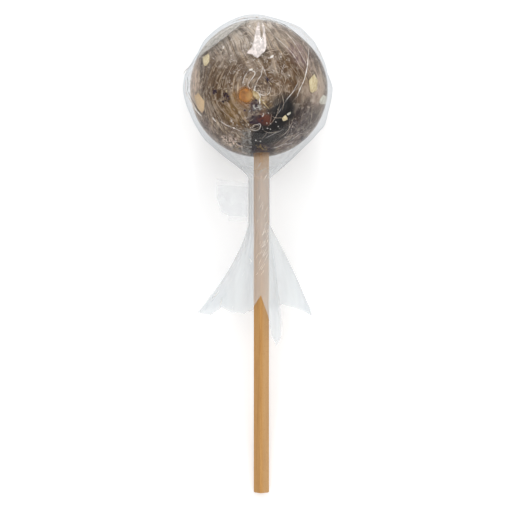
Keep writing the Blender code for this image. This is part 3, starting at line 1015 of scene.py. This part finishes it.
def smooth_line(pixels, steps=6):
    """A smooth line of the film's points through a few pixels."""
    line = []
    ends = np.array([pixels[0], *pixels, pixels[-1]], float)
    for p, q, r, s in zip(ends, ends[1:], ends[2:], ends[3:]):
        for i in range(steps):
            t = i / steps
            square, cube = 2 * p - 5 * q + 4 * r - s, 3 * q - p - 3 * r + s
            line.append(0.5 * (2 * q + (r - p) * t + square * t * t + cube * t**3))
    line.append(ends[-1])
    return [on_film(*spot.tolist()) for spot in line]


def crease_look(name, colour, opacity):
    """Folded film that is seen edge on, with painted light: a pale painted highlight for the bright
    creases, a grey painted shade for the shaded ones.
    """
    look = Nodes(name)
    return look.finish(look.blend(opacity, look.clear(), look.surface(colour, 0.25, {"Coat Weight": 0.5})))


def crinkles(draw):
    """Short bent creases of the film over the ball, pale as painted highlights."""
    for pixel, reach, count in CRINKLED:
        for _ in range(count):
            x, y = draw.gauss(pixel[0], reach / 1.5), draw.gauss(pixel[1], reach / 1.5)
            way, bend = draw.uniform(0, math.pi), draw.uniform(-0.55, 0.55)
            line = [(x, y)]
            for _ in range(4):
                x += math.cos(way) * draw.uniform(0.3, 1.2)
                y += math.sin(way) * draw.uniform(0.3, 1.2)
                way += bend
                line.append((x, y))
            yield tube(smooth_line(line, 3), draw.uniform(0.03, 0.08), uneven=1.0)


def stick_crinkles(draw):
    """Fine slanting creases of the film over the stick, pale as painted highlights."""
    for pixel, reach, count, longest in STICK_CRINKLES:
        for _ in range(count):
            x, y = draw.gauss(pixel[0], reach[0]), draw.gauss(pixel[1], reach[1])
            way = math.radians(draw.gauss(*CRINKLE_TURN))
            long = draw.uniform(2.5, longest)
            sway = draw.uniform(-0.25, 0.25)
            line = [
                (x + math.cos(way) * long * i / 3 + sway * math.sin(i), y - math.sin(way) * long * i / 3)
                for i in range(4)
            ]
            if all(STICK_EDGES_PX[0] < across < STICK_EDGES_PX[1] for across, _ in line):
                yield tube([over_stick(*spot) for spot in line], draw.uniform(0.03, 0.08), uneven=0.9)


def glints(draw):
    """Glints on the film as small flakes: those with a place, then crowds of smaller ones."""
    flakes = list(GLINTS)
    for pixel, reach, count in GLITTERING:
        for _ in range(count):
            spot = draw.gauss(pixel[0], reach[0]), draw.gauss(pixel[1], reach[1])
            flakes.append((spot, (draw.uniform(0.6, 1.6), draw.uniform(0.5, 1.0)), draw.uniform(0, 180)))
    return [crumb(draw, pixel, size, turn, on_film(*pixel).length, 0.15) for pixel, size, turn in flakes]


def make_creases():
    """Creases in the film as thin lines that lie on it, pale as painted highlights, and its glints; and
    grey lines of painted shade along its folds.
    """
    parts = [tube(smooth_line(pixels), wide, uneven=1.6) for wide, pixels in CREASES]
    parts.extend(crinkles(random.Random(3)))
    draw = random.Random(8)
    parts.extend(stick_crinkles(draw))
    parts.extend(tube([over_stick(*spot) for spot in line], 0.12, uneven=1.0) for line in SKIRT_CREASES)
    parts.extend(glints(draw))
    shaded = [tube(smooth_line(pixels), wide, uneven=1.0) for wide, pixels in SHADED_CREASES]
    for name, shapes, look in (
        # pale painted highlights along the creases and on the glints
        ("film_crease_highlights", parts, crease_look("creased_film_highlight", rgb(248, 243, 238), 0.75)),
        # grey painted shade along the folds and edges
        ("film_crease_shade", shaded, crease_look("shaded_film", rgb(120, 114, 108), 0.6)),
    ):
        add_piece(name, *joined(shapes), look, "film")


def facet_highlight_look(name, colour, opacity):
    """A painted highlight on the film: a pale patch, cloudy between two opacities."""
    look = Nodes(name)
    cloud = look.range(look.noise(look.stretched(look.place(), 0.3), 1.1, 3.0, 0.6), 0.41, 0.60, *opacity)
    return look.finish(look.blend(cloud, look.clear(), look.surface(colour, 0.4, {"Coat Weight": 0.1})))


def make_facet_highlights():
    """Painted highlights and sheen: pale patches where dents and folds of the film over the ball catch the
    light.
    """
    for name, colour, opacity, outline in FACET_HIGHLIGHTS:
        shape = bmesh.new()
        corners = [shape.verts.new((*spot, 0.0)) for spot in outline]
        shape.faces.new(corners)
        bmesh.ops.triangulate(shape, faces=shape.faces)
        bmesh.ops.subdivide_edges(shape, edges=shape.edges, cuts=3, use_grid_fill=True)
        bmesh.ops.triangulate(shape, faces=shape.faces)
        points = [on_film(v.co.x, v.co.y, FACET_ABOVE) for v in shape.verts]
        faces = [tuple(v.index for v in f.verts) for f in shape.faces]
        shape.free()
        add_piece(name, points, faces, facet_highlight_look(name, colour, opacity), "film")


# Folds of film that lie over each other, thin and doubled: height over the stick's middle, then the
# outline in pixels
THIN_FOLDS = (
    (0.5, ((246.6, 222), (253.6, 222), (253.8, 262), (254, 306), (251.5, 308), (247.5, 311), (243.5, 270))),
    (1.2, ((247.8, 224), (254.8, 224), (254, 262), (251.0, 300), (248.4, 262))),
    (2.6, ((267, 222), (269, 224), (275.5, 262), (278.4, 303), (279, 318), (271.5, 300), (267.4, 262))),
    (0.4, ((222, 285), (231, 300), (226, 309.5), (222.1, 307))),
    (0.3, ((283.5, 254), (287, 258), (299.3, 284.5), (310.6, 309.5), (311.6, 315.4), (307, 311),
           (297, 286))),
)
DOUBLED_FOLDS = (
    (3.3, ((268, 300), (277.4, 300), (278.7, 305), (280.3, 329), (280.4, 336), (276.6, 344),
           (271.2, 335.4), (269.2, 318))),
    (0.9, ((213.6, 291), (219, 290), (222.5, 297), (221, 307), (210.6, 314.6), (199.5, 312.2))),
    (0.6, ((301, 306), (307.5, 302.5), (311.2, 311), (312, 315.6), (306, 312))),
)


def make_folds():
    for name, haze, folds in (
        ("film_folds", (0.10, 0.16), THIN_FOLDS),
        ("film_tips", (0.26, 0.32), DOUBLED_FOLDS),
    ):
        parts = [
            ([(*from_pixel(*spot), height) for spot in outline], [tuple(range(len(outline)))])
            for height, outline in folds
        ]
        look = film_look(name, (0.97, 0.975, 0.98), (0.9, 0.91, 0.92), haze)
        add_piece(name, *joined(parts), look, "film", smooth=False)


# The flag's two ends, x and y in millimetres, and the gap between them
FLAG_GAP = 0.01
FLAG_UPPER_END = (
    (-14.6, -31.4), (-3.9, -33.0), (-3.9, -44.6), (-10.6, -44.2), (-12.8, -43.4), (-14.7, -38.1),
)
FLAG_LOWER_END = (
    (-14.1, -33.6), (-3.9, -34.3), (-3.9, -46.5), (-10.6, -46.1), (-10.7, -44.0), (-12.9, -43.2),
    (-14.5, -38.1),
)


def plate(outline, low, high):
    """A flat sheet with this outline, between two heights."""
    count = len(outline)
    points = [(x, y, low) for x, y in outline] + [(x, y, high) for x, y in outline]
    ends = [tuple(range(count)), tuple(reversed(range(count, 2 * count)))]
    return points, ends + bands((count, 0), count)


def make_tape():
    """The band round the neck, and the flag's two ends that are pressed together."""
    turns = turns_of(TAPE_COLUMNS)
    inside = neck_radius(turns) + pleat_depth(turns) + TAPE_GAP
    outside = inside + TAPE_THICKNESS
    corners = (TAPE_TOP, inside), (TAPE_TOP, outside), (TAPE_BOTTOM, outside), (TAPE_BOTTOM, inside)
    points = np.concatenate([stick_ring(radius, y, turns) for y, radius in corners])
    starts = [*range(0, len(points), TAPE_COLUMNS), 0]
    parts = [
        (points, bands(starts, TAPE_COLUMNS)),
        plate(FLAG_UPPER_END, 0.0, TAPE_THICKNESS),
        plate(FLAG_LOWER_END, -FLAG_GAP - TAPE_THICKNESS, -FLAG_GAP),
    ]
    piece = add_piece("tape_strip", *joined(parts), tape_look(), "tape", smooth=False)
    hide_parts("tape")


def wood_look():
    """Pale sanded wood with its grain along the stick, and a painted sheen that makes it paler on its
    right.
    """
    look = Nodes("sanded_wood")
    place = look.place()
    long = look.stretched(place, 0.045)
    grain = look.noise(long, 1.1, 4.0, 0.6, warp=0.4)
    fibre = look.noise(long, 5.5, 3.0, 0.6)
    speck = look.noise(look.stretched(place, 0.5), 3.2, 2.0)
    base = look.ramp(
        grain, (0.30, rgb(184, 131, 68)), (0.50, rgb(196, 145, 81)), (0.70, rgb(203, 155, 93))
    )
    # painted sheen: the stick's right side paler, as where light falls on it
    right_side_sheen = look.range(look.split(place)["X"], STICK_OFFSET, STICK_OFFSET + 1.2, 0.0, 0.4)
    base = look.mix(right_side_sheen, base, rgb(198, 166, 128))
    base = look.mix(look.range(fibre, 0.55, 0.75, 0.0, 0.35), base, rgb(160, 112, 62))
    base = look.mix(look.range(speck, 0.54, 0.70, 0.0, 0.35), base, rgb(172, 120, 64))
    return look.finish(look.surface(base, 0.6, {"Normal": look.bump(fibre, 0.08, 0.6)}))


def dress_stick():
    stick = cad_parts["stick"]
    stick.data.materials.clear()
    stick.data.materials.append(wood_look())
    stick.data.shade_smooth()
    stick.data.set_sharp_from_angle(angle=math.radians(50))


def make_floor():
    """A floor that stays nearly white but takes a soft shadow."""
    shape = bmesh.new()
    bmesh.ops.create_grid(shape, x_segments=1, y_segments=1, size=3.0)
    mesh = bpy.data.meshes.new("floor")
    shape.to_mesh(mesh)
    shape.free()
    look = Nodes("pale_floor")
    more = {"Emission Color": (1.0, 1.0, 1.0), "Emission Strength": FLOOR_GLOW}
    mesh.materials.append(look.finish(look.surface(rgb(234, 234, 234), 0.8, more)))
    add_object("floor", mesh)


def add_light(name, place, target, size, power):
    """A soft area light, placed and aimed on the lollipop's own axes, in millimetres."""
    light = bpy.data.lights.new(name, "AREA")
    light.shape = "RECTANGLE"
    light.size, light.size_y = (side * MM for side in size)
    light.energy = power
    lamp = add_object(name, light)
    spot = REST @ (Vector(place) * MM)
    away = REST @ (Vector(target) * MM) - spot
    lamp.location = spot
    lamp.rotation_euler = away.to_track_quat("-Z", "Y").to_euler()
    return lamp


def light_scene():
    """A faint sky, one big soft light from above, and one from the ball's end that the film mirrors."""
    world = bpy.data.worlds.new("studio")
    world.use_nodes = True
    sky = world.node_tree.nodes["Background"]
    sky.inputs["Color"].default_value = (0.98, 0.99, 1.0, 1.0)
    sky.inputs["Strength"].default_value = WORLD_GLOW
    bpy.context.scene.world = world
    overhead = add_light("overhead", (400, 100, 1100), (400, 100, 0), (3400, 3400), OVERHEAD_POWER)
    overhead.visible_glossy = False
    add_light("key", (0, 560, 190), (0, 0, 0), (70, 300), KEY_POWER)
    bpy.context.scene.view_settings.view_transform = "Standard"


def add_camera():
    """Looks square onto the stick from the side that shows, with the photograph's frame."""
    camera = bpy.data.cameras.new("camera")
    camera.lens = LENS
    camera.sensor_width = SENSOR
    camera.clip_start = 0.01
    seat = add_object("camera", camera)
    seat.matrix_world = REST @ Matrix.Translation(EYE * MM)
    bpy.context.scene.camera = seat


add_camera()
light_scene()
make_floor()
make_core()
make_shell()
make_crumbs()
make_threads()
make_film()
make_creases()
make_facet_highlights()
make_folds()
make_tape()
dress_stick()
